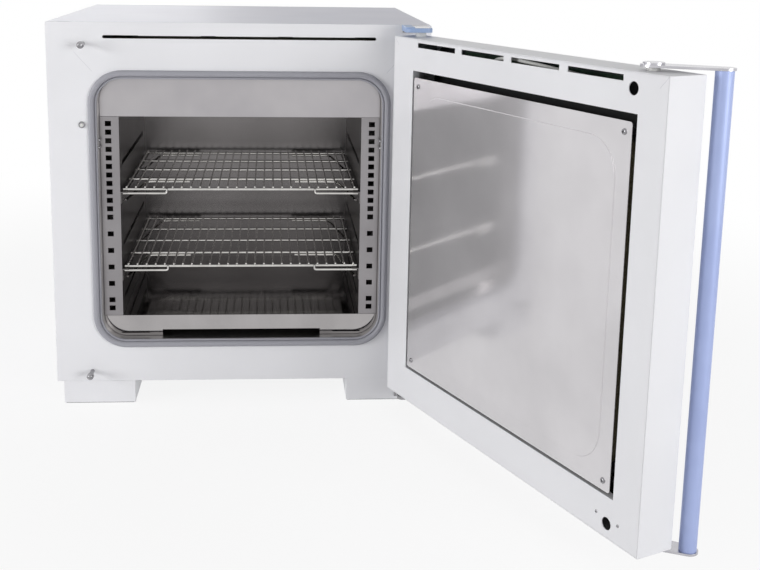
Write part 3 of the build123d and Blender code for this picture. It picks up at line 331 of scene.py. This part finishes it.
finishes = {
    "casing_paint": shadedPowderCoat, "front_paint": whitePowderCoat, "galvanised_sheet": galvanisedSheet,
    "liner_steel": linerSteel, "chamber_steel": shadedChamberSteel, "panel_steel": panelSteel,
    "wire_steel": brightWire, "heater_steel": heaterSheath, "pin_steel": turnedSteel, "arm_steel": armSteel,
    "seal_silicone": greySilicone, "mineral_wool": mineralWool, "black_plastic": blackPlastic,
    "white_plastic": whitePlastic, "bearing_plastic": whitePlastic, "blue_plastic": blueCap,
    "blue_paint": blueLacquer, "board_green": circuitBoard, "fascia_film": fasciaFilm,
    "display_glass": displayGlass, "pad_rubber": blackRubber,
}
slotOf = {part["node"]: part["material_slot"] for part in frame["record"]["subparts"]}
ownFinish = {
    "chamber_floor": floorSteel, "chamber_ceiling": apronSteel,
    "left_side_duct": ductSteel, "right_side_duct": ductSteel,
    "contact_housing": turnedSteel,
}


def smoothByAngle(obj, degrees=35):
    mesh = obj.data
    flags = [True] * len(mesh.polygons)
    mesh.polygons.foreach_set("use_smooth", flags)
    mesh.set_sharp_from_angle(angle=math.radians(degrees))


for nodeName, node in nodes.items():
    node.data.materials.clear()
    node.data.materials.append(ownFinish.get(nodeName, finishes[slotOf[nodeName]]))
print("finishes given to the nodes")

# room: floor, world and lamps

roomSettings = {
    "floorColour": "#f4f4f5", "floorLight": "#f7f7f8", "floorSize": 60.0, "cloudScale": 3.0,
    "nearGlow": 0.86, "nearReach": 0.6, "farGlow": 1.0, "farReach": 1.9,
    "worldColour": "#ffffff", "worldLight": 0.32,
}


def seenRays(material):
    # 1 for what the camera sees, also in a mirror or through a clear piece; 0 for the light on the object
    rays = addNode(material, "ShaderNodeLightPath")
    seen = addNode(material, "ShaderNodeMath", {"operation": "MAXIMUM"}, {
        0: (rays, "Is Camera Ray"), 1: (rays, "Is Glossy Ray")})
    return addNode(material, "ShaderNodeMath", {"operation": "MAXIMUM"}, {
        0: (seen, "Value"), 1: (rays, "Is Transmission Ray")})


def makeFloor(s):
    mesh = bpy.data.meshes.new("studioFloor")
    half = s["floorSize"] / 2
    corners = [(-half, -half, 0), (half, -half, 0), (half, half, 0), (-half, half, 0)]
    mesh.from_pydata(corners, [], [(0, 1, 2, 3)])
    floor = bpy.data.objects.new("studioFloor", mesh)
    bpy.context.scene.collection.objects.link(floor)
    m = newMaterial("studioFloorPaint")
    seen = seenRays(m)
    places = objectPlaces(m)
    away = addNode(m, "ShaderNodeVectorMath", {"operation": "LENGTH"}, {0: (places, "Vector")})
    glowShare = addNode(m, "ShaderNodeMapRange", {
        "interpolation_type": "SMOOTHSTEP", "From Min": s["nearReach"], "From Max": s["farReach"],
        "To Min": s["nearGlow"], "To Max": s["farGlow"]}, {"Value": (away, "Value")})
    share = addNode(m, "ShaderNodeMath", {"operation": "MULTIPLY"}, {
        0: (seen, "Value"), 1: (glowShare, "Result")})
    grain = addNode(m, "ShaderNodeTexNoise", {"Scale": s["cloudScale"]}, {"Vector": (places, "Vector")})
    colour = tintedColour(m, grain, s["floorColour"], s["floorLight"])
    matt = addNode(m, "ShaderNodeBsdfDiffuse", None, {"Color": (colour, "Color")})
    glow = addNode(m, "ShaderNodeEmission", {"Color": (1, 1, 1, 1), "Strength": 1.0})
    mix = addNode(m, "ShaderNodeMixShader", None, {
        0: (share, "Value"), 1: (matt, "BSDF"), 2: (glow, "Emission")})
    addNode(m, "ShaderNodeOutputMaterial", None, {"Surface": (mix, "Shader")})
    mesh.materials.append(m)


def makeWorld(s):
    world = bpy.data.worlds.new("studioWorld")
    world.use_nodes = True
    world.node_tree.nodes.clear()
    seen = seenRays(world)
    lightRange = {"To Min": s["worldLight"], "To Max": 1.0}
    strength = addNode(world, "ShaderNodeMapRange", lightRange, {"Value": (seen, "Value")})
    colour = {"Color": toLinear(s["worldColour"])}
    back = addNode(world, "ShaderNodeBackground", colour, {"Strength": (strength, "Result")})
    addNode(world, "ShaderNodeOutputWorld", None, {"Surface": (back, "Background")})
    bpy.context.scene.world = world
    bpy.context.scene.view_settings.view_transform = "Standard"


lampSettings = {
    "frontLeftSoftbox": {
        "place": (-3.7, -1.9, 0.9), "aim": (0.2, -0.5, 0.3), "size": (1.8, 1.5), "watts": 82},
    "frontRightSoftbox": {
        "place": (2.6, -3.4, 0.9), "aim": (0.2, -0.5, 0.3), "size": (1.8, 1.5), "watts": 63},
    "ceilingSoftbox": {
        "place": (0.2, 0.2, 3.4), "aim": (0, 0, 0.3), "size": (2.5, 2.5), "watts": 1},
    "rearSoftbox": {
        "place": (-1.2, 3.4, 2.0), "aim": (0, 0, 0.3), "size": (2.2, 2.2), "watts": 24},
}


def makeLamp(name, s):
    data = bpy.data.lights.new(name, "AREA")
    data.shape = "RECTANGLE"
    data.size, data.size_y = s["size"]
    data.energy = s["watts"]
    lamp = bpy.data.objects.new(name, data)
    bpy.context.scene.collection.objects.link(lamp)
    place, aim = Vector(s["place"]), Vector(s["aim"])
    lamp.location = place
    lamp.rotation_euler = (aim - place).to_track_quat("-Z", "Y").to_euler()


makeFloor(roomSettings)
makeWorld(roomSettings)
for lampName, lamp in lampSettings.items():
    makeLamp(lampName, lamp)
print("room and lamps made")

# wire shelves

shelfSettings = {
    "levels": {"upper_shelf": 365.5, "lower_shelf": 232.5},
    "halfWidth": 197.0, "frontY": -239.0, "depth": 344.0,
    "crossWire": 5.0, "crossCount": 5, "crossTrim": 0.5, "crossSides": 16,
    "gridWire": 3.0, "gridCount": 26, "gridHalf": 190.5, "gridOverrun": 3.0, "gridTrim": 0.3,
    "braceWire": 4.0, "weldGap": 0.02,
    "loopDrop": 6.0, "loopInner": 124.0, "loopBend": 5.0, "loopTrim": 0.4,
    "braceInner": 92.0, "braceBend": 166.0, "braceTip": 194.0, "braceReach": 78.0, "braceDrop": 20.0,
    "bendRadius": 9.0,
}


def roundedPath(points, radius, steps=6):
    # the points with each inner corner replaced by a short bend
    points = [Vector(p) for p in points]
    path = [points[0]]
    for before, corner, after in zip(points, points[1:], points[2:]):
        back, on = (before - corner), (after - corner)
        reach = min(radius, 0.45 * back.length, 0.45 * on.length)
        start, end = corner + back.normalized() * reach, corner + on.normalized() * reach
        for i in range(steps + 1):
            t = i / steps
            path.append((1 - t) ** 2 * start + 2 * t * (1 - t) * corner + t * t * end)
    path.append(points[-1])
    return path


# how far a wire's end is domed, as a share of its radius
domeShare = 0.15


def bridgeRings(bm, first, second):
    count = len(first)
    for k in range(count):
        following = (k + 1) % count
        bm.faces.new((first[k], first[following], second[following], second[k]))


def wireMesh(bm, path, radius, sides=12):
    # a round wire with slightly domed ends, following the path
    path = [Vector(p) for p in path]
    rings = []
    across = None
    for i, place in enumerate(path):
        ahead = (path[min(i + 1, len(path) - 1)] - path[max(i - 1, 0)]).normalized()
        if across is None:
            seed = Vector((0, 0, 1)) if abs(ahead.z) < 0.9 else Vector((1, 0, 0))
            across = ahead.cross(seed).normalized()
        else:
            across = (across - ahead * across.dot(ahead)).normalized()
        other = ahead.cross(across)
        angles = [2 * math.pi * k / sides for k in range(sides)]
        rings.append([(place + (across * math.cos(a) + other * math.sin(a)) * radius) * mm for a in angles])
    made = [[bm.verts.new(v) for v in ring] for ring in rings]
    for first, second in zip(made, made[1:]):
        bridgeRings(bm, first, second)
    for end, ring in ((path[0], made[0]), (path[-1], made[-1])):
        neighbour = path[1] if end is path[0] else path[-2]
        tip = bm.verts.new((end + (end - neighbour).normalized() * radius * domeShare) * mm)
        for k in range(sides):
            bm.faces.new((ring[k], ring[(k + 1) % sides], tip))


def meshPiece(name, bm, material, body, replaced=()):
    bmesh.ops.recalc_face_normals(bm, faces=bm.faces)
    mesh = bpy.data.meshes.new(name)
    bm.to_mesh(mesh)
    bm.free()
    obj = bpy.data.objects.new(name, mesh)
    bpy.context.scene.collection.objects.link(obj)
    mesh.materials.append(material)
    smoothByAngle(obj)
    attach(obj, body)
    if replaced:
        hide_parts(*replaced)
    return obj


def makeShelf(node, level, s):
    bm = bmesh.new()
    step = s["depth"] / (s["crossCount"] - 1)
    for n in range(s["crossCount"]):
        y = s["frontY"] + n * step
        end = s["halfWidth"] - s["crossTrim"]
        wireMesh(bm, [(-end, y, level), (0, y, level), (end, y, level)], s["crossWire"] / 2, s["crossSides"])
    gridZ = level + s["crossWire"] / 2 + s["gridWire"] / 2 + s["weldGap"]
    for n in range(s["gridCount"]):
        x = -s["gridHalf"] + n * 2 * s["gridHalf"] / (s["gridCount"] - 1)
        y0 = s["frontY"] - s["gridOverrun"] + s["gridTrim"]
        y1 = s["frontY"] + s["depth"] + s["gridOverrun"] - s["gridTrim"]
        wireMesh(bm, [(x, y0, gridZ), (x, (y0 + y1) / 2, gridZ), (x, y1, gridZ)], s["gridWire"] / 2)
    braceZ = level - s["crossWire"] / 2 - s["braceWire"] / 2 - s["weldGap"]
    for side in (-1, 1):
        loopY = s["frontY"] - s["crossWire"] / 2 - s["braceWire"] / 2 - s["weldGap"]
        wireMesh(bm, roundedPath([
            (side * s["loopInner"], loopY, level + s["braceWire"] / 2),
            (side * s["loopInner"], loopY, level - s["loopDrop"]),
            (side * (s["halfWidth"] - s["loopTrim"]), loopY, level - s["loopDrop"]),
        ], s["loopBend"]), s["braceWire"] / 2)
        for n in (1, s["crossCount"] - 1):
            y = s["frontY"] + n * step
            wireMesh(bm, roundedPath([
                (side * s["braceInner"], y, braceZ),
                (side * s["braceBend"], y, braceZ),
                (side * s["braceTip"], y - s["braceReach"], braceZ + s["braceWire"] - s["braceDrop"]),
            ], s["bendRadius"]), s["braceWire"] / 2)
    return meshPiece(node + "Wires", bm, brightWire, node, (node,))


for shelfNode, shelfLevel in shelfSettings["levels"].items():
    makeShelf(shelfNode, shelfLevel, shelfSettings)
print("shelves made")

# door seal

sealSettings = {
    "innerHalf": (232.0, 220.0), "centreZ": 334.0, "cornerRadius": 41.0,
    "width": 14.0, "proud": 7.0, "lip": 3.6, "lipProud": 3.4, "frontY": frontFaceY, "cornerSteps": 16,
    "lipSteps": 7, "lipPower": 0.6, "tubeSteps": 14, "tubePower": 0.72,
}


def roundedRing(halfWidth, halfHeight, radius, centreZ, steps):
    ring = []
    for cx, cz, start in ((1, 1, 0), (-1, 1, 90), (-1, -1, 180), (1, -1, 270)):
        for i in range(steps + 1):
            a = math.radians(start + 90 * i / steps)
            x = cx * (halfWidth - radius) + radius * math.cos(a)
            z = cz * (halfHeight - radius) + radius * math.sin(a) + centreZ
            ring.append((x, z))
    return ring


def makeSeal(s):
    # a tube pressed flat on the frame, carried round the mouth
    bm = bmesh.new()
    profile = []  # (distance out from the inner edge, height over the face)
    for i in range(s["lipSteps"] + 1):
        a = math.pi * i / s["lipSteps"]
        profile.append((s["lip"] / 2 * (1 - math.cos(a)), s["lipProud"] * math.sin(a) ** s["lipPower"]))
    for i in range(s["tubeSteps"] + 1):
        a = math.pi * i / s["tubeSteps"]
        out = s["lip"] + (s["width"] - s["lip"]) / 2 * (1 - math.cos(a))
        profile.append((out, s["proud"] * math.sin(a) ** s["tubePower"]))
    rings = []
    for out, height in profile:
        halfWidth, halfHeight = s["innerHalf"][0] + out, s["innerHalf"][1] + out
        ring = roundedRing(halfWidth, halfHeight, s["cornerRadius"] + out, s["centreZ"], s["cornerSteps"])
        rings.append([bm.verts.new((x * mm, (s["frontY"] - height) * mm, z * mm)) for x, z in ring])
    for first, second in zip(rings, rings[1:] + rings[:1]):
        bridgeRings(bm, first, second)
    return meshPiece("sealTube", bm, greySilicone, "cabinet", ("door_seal",))


makeSeal(sealSettings)
print("seal made")

# hinge cap: a flat lever over the pin, with a low block on its left end

capSettings = {
    "left": 260.8, "right": 304.2, "front": -331.7, "back": -274.2, "low": 637.0, "top": 645.5,
    "step": 1.6, "round": 9.5, "rim": 0.9, "gap": 0.02, "turnSteps": 8,
    "blockWidth": 15.0, "blockRound": 3.0, "blockRim": 0.6, "blockSink": 0.5,
}


def capOutline(x0, x1, y0, y1, radius, steps):
    # a plan outline with its two front corners rounded, back corners square
    outline = [(x1, y1), (x0, y1)]
    for cx, start in ((x0 + radius, 180), (x1 - radius, 270)):
        for i in range(steps + 1):
            a = math.radians(start + 90 * i / steps)
            outline.append((cx + radius * math.cos(a), y0 + radius + radius * math.sin(a)))
    return outline


def prismMesh(bm, outline, low, top, rim):
    # an upright prism whose top edge is softly chamfered
    cx = sum(x for x, y in outline) / len(outline)
    cy = sum(y for x, y in outline) / len(outline)
    rings = []
    for inset, height in ((0, low), (0, top - rim), (0.35 * rim, top - 0.3 * rim), (rim, top)):
        ring = []
        for x, y in outline:
            away = Vector((x - cx, y - cy))
            short = away * (1 - inset / max(away.length, 1e-6))
            ring.append(bm.verts.new(Vector((cx + short.x, cy + short.y, height)) * mm))
        rings.append(ring)
    for first, second in zip(rings, rings[1:]):
        bridgeRings(bm, first, second)
    bm.faces.new(rings[-1])
    bm.faces.new(rings[0])


def makeCap(s):
    bm = bmesh.new()
    lever = capOutline(s["left"], s["right"], s["front"], s["back"], s["round"], s["turnSteps"])
    prismMesh(bm, lever, s["low"] + s["gap"], s["top"] - s["step"], s["rim"])
    blockEnd = s["left"] + s["blockWidth"]
    block = capOutline(s["left"], blockEnd, s["front"], s["back"], s["blockRound"], s["turnSteps"])
    prismMesh(bm, block, s["top"] - s["step"] - s["blockSink"], s["top"] - s["gap"], s["blockRim"])
    return meshPiece("hingeCapMoulding", bm, blueCap, "cabinet", ("hinge_cap",))


makeCap(capSettings)
print("hinge cap made")

# screws, seams, keys and other small pieces

doorSettings = {"hinge": (287.5, -312.5), "openAngle": 113.8}


def onDoor(place, s=doorSettings):
    # a point of the closed door, carried to where the open door holds it
    x, y, z = place
    turn = Matrix.Rotation(math.radians(s["openAngle"]), 3, "Z")
    hinge = Vector((s["hinge"][0], s["hinge"][1], 0))
    return turn @ (Vector((x, y, z)) - hinge) + hinge


def turnedOnDoor(direction, s=doorSettings):
    return Matrix.Rotation(math.radians(s["openAngle"]), 3, "Z") @ Vector(direction)


def recessRadius(shape, size, angle):
    # how far the edge of a cross or hexagon lies from its middle
    if shape == "hexagon":
        return size / math.cos((angle + math.pi / 6) % (math.pi / 3) - math.pi / 6)
    if shape == "cross":
        a = abs((angle + math.pi / 4) % (math.pi / 2) - math.pi / 4)
        arm = 0.24 * size
        return min(size / math.cos(a), arm / max(math.sin(a), 1e-6))
    return size


def turnedMesh(bm, place, axis, rings, sides=48):
    # rings of (radius, height, shape) turned round an axis, closed at the last one
    place, axis = Vector(place), Vector(axis).normalized()
    seed = Vector((0, 0, 1)) if abs(axis.z) < 0.9 else Vector((1, 0, 0))
    across = axis.cross(seed).normalized()
    other = axis.cross(across)
    made = []
    for radius, height, shape in rings:
        ring = []
        for k in range(sides):
            a = 2 * math.pi * k / sides
            r = recessRadius(shape, radius, a)
            outward = across * math.cos(a) + other * math.sin(a)
            ring.append(bm.verts.new((place + axis * height + outward * r) * mm))
        made.append(ring)
    for first, second in zip(made, made[1:]):
        bridgeRings(bm, first, second)
    bm.faces.new(made[-1])


def domeScrew(bm, place, axis, radius, height, shape="cross"):
    # a domed head with a driver recess
    dome = [
        (radius, 0.02, ""), (radius, 0.2 * height, ""), (0.92 * radius, 0.55 * height, ""),
        (0.76 * radius, 0.86 * height, ""), (0.6 * radius, height, ""),
    ]
    recess = [(0.5 * radius, height, shape), (0.42 * radius, 0.35 * height, shape)]
    turnedMesh(bm, place, axis, dome + recess)


def screwSet(name, body, places, axis, s, shape="cross"):
    bm = bmesh.new()
    for place in places:
        domeScrew(bm, place, axis, s["radius"], s["height"], shape)
    return meshPiece(name, bm, turnedSteel, body)


# one screw in each corner of the door's inner panel, placed on the closed door
panelScrewSettings = {
    "centre": (-3.25, 334.2), "size": (499.0, 472.0), "inset": 13.0, "faceY": doorInnerY,
    "radius": 4.0, "height": 2.2,
}


def makePanelScrews(s):
    places = []
    for i in (-1, 1):
        for j in (-1, 1):
            x = s["centre"][0] + i * (s["size"][0] / 2 - s["inset"])
            z = s["centre"][1] + j * (s["size"][1] / 2 - s["inset"])
            places.append(onDoor((x, s["faceY"], z)))
    screwSet("panelScrews", "door", places, turnedOnDoor((0, 1, 0)), s)


makePanelScrews(panelScrewSettings)

# two small screws of the lower latch's guide plate
latchScrewSettings = {
    "places": ((-231.0, 65.0), (-272.0, 64.0)), "faceY": doorInnerY, "radius": 2.2, "height": 1.0,
}


def makeLatchScrews(s):
    places = [onDoor((x, s["faceY"], z)) for x, z in s["places"]]
    screwSet("latchPlateScrews", "door", places, turnedOnDoor((0, 1, 0)), s)


makeLatchScrews(latchScrewSettings)

# hexagon sockets in the ends of the two latch studs
studSettings = {"x": -251.0, "levels": (610.0, 57.5), "endY": -299.0, "radius": 3.3, "height": 0.6}


def makeStudEnds(s):
    places = [(s["x"], s["endY"], z) for z in s["levels"]]
    screwSet("studEnds", "cabinet", places, (0, -1, 0), s, "hexagon")


makeStudEnds(studSettings)

# two screw heads on each side wall of the liner, in front of the posts
linerScrewSettings = {"x": 230.9, "y": -261.0, "levels": (452.0, 440.0), "radius": 3.0, "height": 1.8}


def makeLinerScrews(s):
    for side, sideName in ((-1, "left"), (1, "right")):
        places = [(side * s["x"], s["y"], z) for z in s["levels"]]
        screwSet(sideName + "LinerScrews", "cabinet", places, (-side, 0, 0), s)


makeLinerScrews(linerScrewSettings)

# screws round the edge of the rear cover and in its middle columns
rearScrewSettings = {
    "columns": (-296.0, -99.0, 99.0, 296.0), "levels": (52.0, 343.0, 633.0), "faceY": rearCoverY,
    "radius": 4.0, "height": 2.2,
}


def makeRearScrews(s):
    # the middle level has screws in the outer columns only
    outer, middle = (s["columns"][0], s["columns"][-1]), s["levels"][1]
    places = [(x, s["faceY"], z) for x in s["columns"] for z in s["levels"] if x in outer or z != middle]
    screwSet("rearCoverScrews", "cabinet", places, (0, 1, 0), s)


makeRearScrews(rearScrewSettings)

# two screws beside the mains inlet
inletScrewSettings = {
    "places": ((200.0, 100.0), (240.0, 100.0)), "faceY": rearFlangeY, "radius": 2.6, "height": 1.2,
}


def makeInletScrews(s):
    screwSet("inletScrews", "cabinet", [(x, s["faceY"], z) for x, z in s["places"]], (0, 1, 0), s)


makeInletScrews(inletScrewSettings)

# four screws in the flange of the exhaust stub
stubScrewSettings = {"reach": 31.0, "centre": (0.0, 505.0), "faceY": rearFlangeY, "radius": 2.6, "height": 1.4}


def makeStubScrews(s):
    x0, z0 = s["centre"]
    places = [(x0 + i * s["reach"], s["faceY"], z0 + j * s["reach"]) for i in (-1, 1) for j in (-1, 1)]
    screwSet("stubScrews", "cabinet", places, (0, 1, 0), s)


makeStubScrews(stubScrewSettings)
print("screws made")

# mitred corner joints of the front frame and of the door's inner frame, ground flush and painted over
seamSettings = {
    "width": 0.5, "proud": 0.03, "footShare": 0.1,
    "frameY": frontFaceY, "frameEnds": ((266, 597), (238, 566)),
    "doorY": doorInnerY, "doorSeams": (((-308, 628.5), (-294, 614.5)), ((308, 628.5), (296, 616.5))),
}


def seamMesh(bm, start, end, out, s):
    # a hair-thin strip from start to end on a face that looks along out
    start, end, out = Vector(start), Vector(end), Vector(out)
    side = (end - start).cross(out).normalized() * s["width"] / 2
    lift = out * s["proud"]
    corners = [start - side + lift, start + side + lift, end + side + lift, end - side + lift]
    top = [bm.verts.new(c * mm) for c in corners]
    foot = [bm.verts.new((c - lift * (1 - s["footShare"])) * mm) for c in corners]
    bm.faces.new(top)
    bridgeRings(bm, top, foot)


def makeFrameSeams(s):
    bm = bmesh.new()
    (x0, z0), (x1, z1) = s["frameEnds"]
    for side in (-1, 1):
        seamMesh(bm, (side * x0, s["frameY"], z0), (side * x1, s["frameY"], z1), (0, -1, 0), s)
    meshPiece("frameSeams", bm, seamPaint, "cabinet")


def makeDoorSeams(s):
    bm = bmesh.new()
    for (x0, z0), (x1, z1) in s["doorSeams"]:
        start, end = onDoor((x0, s["doorY"], z0)), onDoor((x1, s["doorY"], z1))
        seamMesh(bm, start, end, turnedOnDoor((0, 1, 0)), s)
    meshPiece("doorSeams", bm, seamPaint, "door")


makeFrameSeams(seamSettings)
makeDoorSeams(seamSettings)
print("seams made")

# membrane keys and signal lamps on the control panel, all plain
keySettings = {
    "faceY": doorFasciaY, "level": 600.0, "keys": (20.0, 46.0, 72.0, 98.0, 124.0, 150.0),
    "keySize": (20.0, 14.0), "keyRadius": 3.0, "keyProud": 0.5,
    "lamps": (-140.0, -152.0), "lampLevels": (607.0, 593.0), "lampRadius": 1.8, "lampProud": 0.7,
    "lampSides": 20,
}


def padMesh(bm, middle, size, radius, proud, turn):
    # a low pad with rounded corners and a chamfered rim
    rings = []
    for inset, height in ((0, 0), (0, 0.6 * proud), (0.4 * proud, proud)):
        ring = roundedRing(size[0] / 2 - inset, size[1] / 2 - inset, radius - inset, middle[2], 5)
        rings.append([bm.verts.new(turn((middle[0] + x, middle[1] - height, z)) * mm) for x, z in ring])
    for first, second in zip(rings, rings[1:]):
        bridgeRings(bm, first, second)
    bm.faces.new(rings[-1])


def makeKeys(s):
    bm = bmesh.new()
    for x in s["keys"]:
        padMesh(bm, (x, s["faceY"], s["level"]), s["keySize"], s["keyRadius"], s["keyProud"], onDoor)
    meshPiece("membraneKeys", bm, keyFilm, "door")
    bm = bmesh.new()
    out = turnedOnDoor((0, -1, 0))
    r, h = s["lampRadius"], s["lampProud"]
    dome = [(r, 0, ""), (r, 0.4 * h, ""), (0.7 * r, 0.85 * h, ""), (0.3 * r, h, "")]
    for x in s["lamps"]:
        for z in s["lampLevels"]:
            turnedMesh(bm, onDoor((x, s["faceY"], z)), out, dome, s["lampSides"])
    meshPiece("signalLamps", bm, whitePlastic, "door")


makeKeys(keySettings)
print("keys made")

# a near-black sheet on the inside of the door's outer sheet: painted shade seen through the gap round the panel
gapShadeSettings = {"centre": (-4.0, -333.28, 336.0), "size": (560.0, 560.0), "radius": 30.0, "thick": 0.6}


def makeGapShade(s):
    bm = bmesh.new()
    x0, y0, z0 = s["centre"]
    rings = []
    for height in (0, s["thick"]):
        ring = roundedRing(s["size"][0] / 2, s["size"][1] / 2, s["radius"], z0, 6)
        rings.append([bm.verts.new(onDoor((x0 + x, y0 + height, z)) * mm) for x, z in ring])
    bridgeRings(bm, rings[0], rings[1])
    bm.faces.new(rings[0])
    bm.faces.new(rings[1])
    meshPiece("doorGapShade", bm, gapShadeSheet, "door")


makeGapShade(gapShadeSettings)

# a white cable that hangs behind the door's vents
cableSettings = {
    "radius": 2.6, "bend": 30, "bendSteps": 8, "sides": 14,
    "path": (
        (-200, -306, 606), (-120, -300, 612), (-40, -292, 618), (20, -290, 621), (60, -296, 614),
        (90, -318, 600)),
}


def makeCable(s):
    bm = bmesh.new()
    path = [onDoor(v) for v in roundedPath(s["path"], s["bend"], s["bendSteps"])]
    wireMesh(bm, path, s["radius"], s["sides"])
    meshPiece("doorCable", bm, whitePlastic, "door")


makeCable(cableSettings)
print("cable made")

for node in nodes.values():
    if not node.hide_render:
        smoothByAngle(node)
